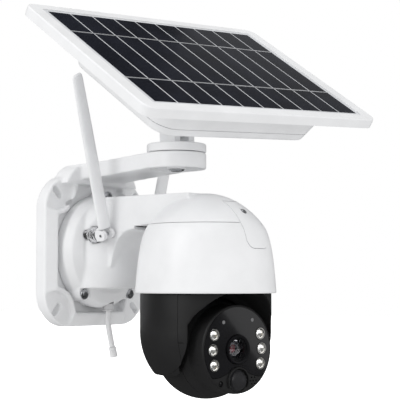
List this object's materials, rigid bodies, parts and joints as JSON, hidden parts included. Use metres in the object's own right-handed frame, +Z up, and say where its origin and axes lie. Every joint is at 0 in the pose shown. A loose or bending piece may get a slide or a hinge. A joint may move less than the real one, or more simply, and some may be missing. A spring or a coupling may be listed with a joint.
{
  "type": "security camera",
  "caption": "Wall-mounted pan and tilt dome security camera with rod antennas and a solar panel on a swivel and tilt bracket above it.",
  "frame": {"origin": "middle of the wall plate's back face, on the wall", "axes": "+Z up the wall, -Y out of the wall towards the camera, +X to the right when facing the wall"},
  "size_m": [0.2595, 0.2278, 0.3159],
  "materials": {
    "white_plastic": "satin moulded ABS",
    "black_plastic": "satin moulded ABS",
    "gloss_black": "polished",
    "screw_steel": "zinc plated",
    "nickel": "polished nickel",
    "circuit_board": "solder mask",
    "nylon": "moulded",
    "led_reflector": "vacuum metallised cup under a clear lens",
    "solar_glass": "clear laminated front over dark cells",
    "cell_wrap": "shrink sleeve",
    "soft_rubber": "soft"
  },
  "bodies": {
    "mount": {"wall_bracket": "white_plastic", "base_housing": "white_plastic", "base_screw_top": "screw_steel", "base_screw_left": "screw_steel", "base_screw_right": "screw_steel", "shroud": "white_plastic", "card_cover": "white_plastic", "card_cover_screw": "screw_steel", "pan_deck": "black_plastic", "pan_bearing": "screw_steel", "pan_motor": "screw_steel", "main_board": "circuit_board", "card_slot": "screw_steel", "antenna_socket_left": "nickel", "antenna_socket_right": "nickel", "cable_grommet": "soft_rubber", "pigtail_cord": "white_plastic", "pigtail_plug": "white_plastic"},
    "reset_key": {"reset_button": "black_plastic"},
    "pan_drive": {"pan_pinion": "nylon"},
    "yoke": {"yoke_housing": "black_plastic", "cheek_cover_left": "black_plastic", "cheek_cover_right": "black_plastic", "pan_gear": "nylon", "neck_nut": "nylon", "tilt_gear": "nylon"},
    "head": {"head_front_shell": "black_plastic", "head_rear_shell": "black_plastic", "face_window": "gloss_black", "lens_barrel": "black_plastic", "lens_glass": "gloss_black", "led_1": "led_reflector", "led_2": "led_reflector", "led_3": "led_reflector", "led_4": "led_reflector", "led_5": "led_reflector", "led_6": "led_reflector", "motion_lens": "black_plastic", "light_sensor": "gloss_black", "speaker": "screw_steel", "image_board": "circuit_board", "tilt_motor": "screw_steel"},
    "tilt_drive": {"tilt_pinion": "nylon"},
    "knuckle_left": {"antenna_knuckle_left": "white_plastic"},
    "antenna_left": {"antenna_blade_left": "white_plastic", "antenna_pin_left": "screw_steel"},
    "knuckle_right": {"antenna_knuckle_right": "white_plastic"},
    "antenna_right": {"antenna_blade_right": "white_plastic", "antenna_pin_right": "screw_steel"},
    "swivel": {"swivel_bracket": "white_plastic", "swivel_screw": "screw_steel"},
    "panel": {"panel_frame": "white_plastic", "solar_laminate": "solar_glass", "battery_box": "white_plastic", "battery_cell_1": "cell_wrap", "battery_cell_2": "cell_wrap", "battery_cell_3": "cell_wrap", "charge_board": "circuit_board", "panel_hinge": "white_plastic", "hinge_bolt": "screw_steel"}
  },
  "joints": [
    {"name": "camera_pan", "type": "hinge", "parent": "mount", "child": "yoke", "pos_m": [0, -0.1272, -0.03], "axis": [0, 0, 1], "range_deg": [-160, 190]},
    {"name": "pan_pinion_spin", "type": "hinge", "parent": "mount", "child": "pan_drive", "pos_m": [-0.02815, -0.11095, 0], "axis": [0, 0, 1], "range_deg": [-610, 515]},
    {"name": "camera_tilt", "type": "hinge", "parent": "yoke", "child": "head", "pos_m": [0, -0.1272, -0.0772], "axis": [0.9681, -0.2504, 0], "range_deg": [0, 88]},
    {"name": "tilt_pinion_spin", "type": "hinge", "parent": "head", "child": "tilt_drive", "pos_m": [0, -0.1272, -0.0612], "axis": [0.9681, -0.2504, 0], "range_deg": [0, 150]},
    {"name": "reset_press", "type": "slide", "parent": "mount", "child": "reset_key", "axis": [0, 1, 0], "range_m": [0, 0.0003], "stiffness_N_per_m": 800, "springref_m": -0.0006},
    {"name": "antenna_turn_left", "type": "hinge", "parent": "mount", "child": "knuckle_left", "pos_m": [-0.03, -0.04, 0.013], "axis": [0, -1, 0], "range_deg": [-8, 90]},
    {"name": "antenna_fold_left", "type": "hinge", "parent": "knuckle_left", "child": "antenna_left", "pos_m": [-0.03, -0.0474, 0.013], "axis": [0.9636, 0, 0.2672], "range_deg": [-3, 11]},
    {"name": "antenna_turn_right", "type": "hinge", "parent": "mount", "child": "knuckle_right", "pos_m": [0.03, -0.04, 0.013], "axis": [0, 1, 0], "range_deg": [-8, 90]},
    {"name": "antenna_fold_right", "type": "hinge", "parent": "knuckle_right", "child": "antenna_right", "pos_m": [0.03, -0.0474, 0.013], "axis": [0.9636, 0, -0.2672], "range_deg": [-3, 11]},
    {"name": "panel_swivel", "type": "hinge", "parent": "mount", "child": "swivel", "pos_m": [0, -0.0975, 0.0791], "axis": [0, 0, 1], "range_deg": [-10, 10]},
    {"name": "panel_tilt", "type": "hinge", "parent": "swivel", "child": "panel", "pos_m": [0, -0.0975, 0.09984], "axis": [0.9851, -0.162, 0.0577], "range_deg": [-5, 25]}
  ],
  "couplings": [
    {"joint": "pan_pinion_spin", "follows": "camera_pan", "ratio": -3.1667},
    {"joint": "tilt_pinion_spin", "follows": "camera_tilt", "ratio": 1.6667}
  ]
}
